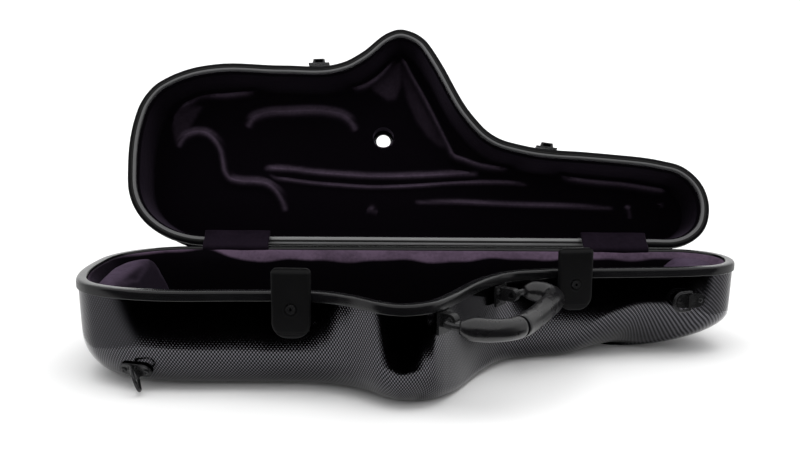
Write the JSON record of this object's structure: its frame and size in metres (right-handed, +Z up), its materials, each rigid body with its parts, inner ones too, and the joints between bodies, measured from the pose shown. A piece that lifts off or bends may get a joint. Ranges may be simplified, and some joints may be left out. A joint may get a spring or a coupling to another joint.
{
  "type": "alto saxophone case",
  "caption": "Contoured hard case for an alto saxophone, carbon look, open, with hinged lid, latches, folding handle, strap rings and padded velvet lining.",
  "frame": {"origin": "on the flat underside of the base, mid-way along the length and the width", "axes": "+Z up, +X along the case from the bell end to the neck end, hinges towards +Y, latches and handle towards -Y"},
  "size_m": [0.6601, 0.4241, 0.3368],
  "materials": {
    "carbon_laminate": "clear-coated fine carbon weave",
    "black_satin_rim": "satin black",
    "velvet": "near-black purple pile",
    "velvet_base": "dark purple pile",
    "rubber_seal": "matte",
    "black_plastic": "satin black",
    "black_metal": "semi-gloss black",
    "spring_steel": "brushed",
    "soft_grip": "soft satin"
  },
  "bodies": {
    "base": {"base_shell": "carbon_laminate", "base_rim": "black_satin_rim", "base_lining": "velvet_base", "bell_block": "velvet_base", "neck_block": "velvet_base", "hinge_left_base_leaf": "black_metal", "hinge_left_pin": "spring_steel", "hinge_right_base_leaf": "black_metal", "hinge_right_pin": "spring_steel", "hinge_base_rivet_1": "black_metal", "hinge_base_rivet_2": "black_metal", "hinge_base_rivet_3": "black_metal", "hinge_base_rivet_4": "black_metal", "latch_left_base": "black_plastic", "latch_left_spring": "spring_steel", "latch_left_pin": "spring_steel", "latch_right_base": "black_plastic", "latch_right_spring": "spring_steel", "latch_right_pin": "spring_steel", "handle_left_mount": "black_metal", "handle_left_screw_1": "black_metal", "handle_left_screw_2": "black_metal", "handle_right_mount": "black_metal", "handle_right_screw_1": "black_metal", "handle_right_screw_2": "black_metal", "strap_left_plate": "black_metal", "strap_left_screw_1": "black_metal", "strap_left_screw_2": "black_metal", "strap_right_plate": "black_metal", "strap_right_screw_1": "black_metal", "strap_right_screw_2": "black_metal"},
    "lid": {"lid_shell": "carbon_laminate", "lid_rim": "black_satin_rim", "lid_lining": "velvet", "rim_seal": "rubber_seal", "hinge_left_lid_leaf": "black_metal", "hinge_left_cover": "velvet", "hinge_right_lid_leaf": "black_metal", "hinge_right_cover": "velvet", "hinge_lid_rivet_1": "black_metal", "hinge_lid_rivet_2": "black_metal", "hinge_lid_rivet_3": "black_metal", "hinge_lid_rivet_4": "black_metal", "keeper_left": "black_metal", "keeper_right": "black_metal"},
    "latch_left": {"latch_left_lever": "black_plastic"},
    "lock_left": {"latch_left_lock": "black_metal"},
    "latch_right": {"latch_right_lever": "black_plastic"},
    "lock_right": {"latch_right_lock": "black_metal"},
    "handle": {"handle_core": "black_metal", "handle_grip_left": "soft_grip", "handle_grip_right": "soft_grip"},
    "ring_left": {"strap_left_ring": "black_metal"},
    "ring_right": {"strap_right_ring": "black_metal"}
  },
  "joints": [
    {"name": "lid_hinge", "type": "hinge", "parent": "base", "child": "lid", "pos_m": [0, 0.132, 0.0928], "axis": [1, 0, 0], "range_deg": [0, 110]},
    {"name": "latch_left_swing", "type": "hinge", "parent": "base", "child": "latch_left", "pos_m": [-0.11609, -0.09171, 0.063], "axis": [0.9994, -0.0342, 0], "range_deg": [0, 90]},
    {"name": "lock_left_turn", "type": "hinge", "parent": "latch_left", "child": "lock_left", "pos_m": [-0.11585, -0.08472, 0.083], "axis": [0.0342, 0.9994, 0], "range_deg": [0, 90]},
    {"name": "latch_right_swing", "type": "hinge", "parent": "base", "child": "latch_right", "pos_m": [0.14774, 0.00752, 0.063], "axis": [0.9909, 0.1343, 0], "range_deg": [0, 90]},
    {"name": "lock_right_turn", "type": "hinge", "parent": "latch_right", "child": "lock_right", "pos_m": [0.1468, 0.01446, 0.083], "axis": [0.1343, -0.9909, 0], "range_deg": [0, 90]},
    {"name": "handle_swing", "type": "hinge", "parent": "base", "child": "handle", "pos_m": [0.01559, -0.11821, 0.078], "axis": [0.5782, 0.8159, 0], "range_deg": [-40, 32]},
    {"name": "ring_left_swing", "type": "hinge", "parent": "base", "child": "ring_left", "pos_m": [-0.2591, -0.07263, 0.01803], "axis": [-0.1532, -0.5241, 0.8378], "range_deg": [-110, 40]},
    {"name": "ring_right_swing", "type": "hinge", "parent": "base", "child": "ring_right", "pos_m": [0.26995, 0.02594, 0.06097], "axis": [0.0013, -0.0084, 1], "range_deg": [0, 155]}
  ]
}
